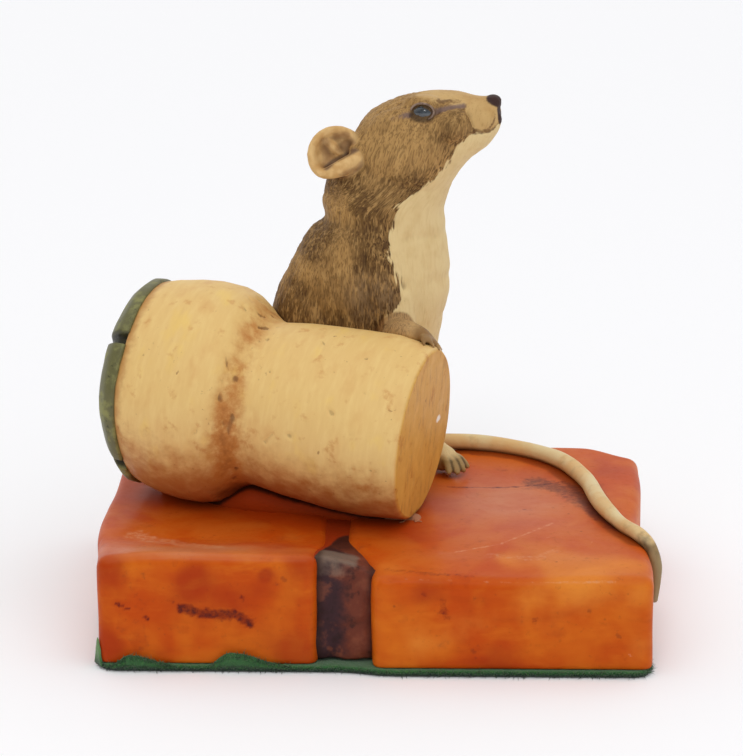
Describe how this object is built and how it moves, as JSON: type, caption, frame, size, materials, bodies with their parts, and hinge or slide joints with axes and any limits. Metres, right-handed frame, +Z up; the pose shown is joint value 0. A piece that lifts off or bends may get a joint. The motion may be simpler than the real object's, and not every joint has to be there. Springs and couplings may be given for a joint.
{
  "type": "mouse figurine",
  "caption": "Cast resin ornament of a brown mouse standing behind a champagne cork, with its tail curled over a base of worn bricks with felt below.",
  "frame": {"origin": "middle of the felt pad's underside, on the surface the figurine stands on", "axes": "+Z up, +X along the base's length towards the mouse's nose and the cork's end disc, +Y towards the mouse's free side and away from the cork"},
  "size_m": [0.0871, 0.0611, 0.0796],
  "materials": {
    "brick": "painted and varnished cast resin, orange-red with worn pink patches",
    "felt": "green felt",
    "cork": "painted cast resin, pale tan, with an olive cap",
    "mouse": "painted cast resin, mottled brown fur with a cream chest"
  },
  "bodies": {
    "root": {"brick_base": "brick", "felt_pad": "felt", "champagne_cork": "cork", "mouse": "mouse"}
  },
  "joints": []
}
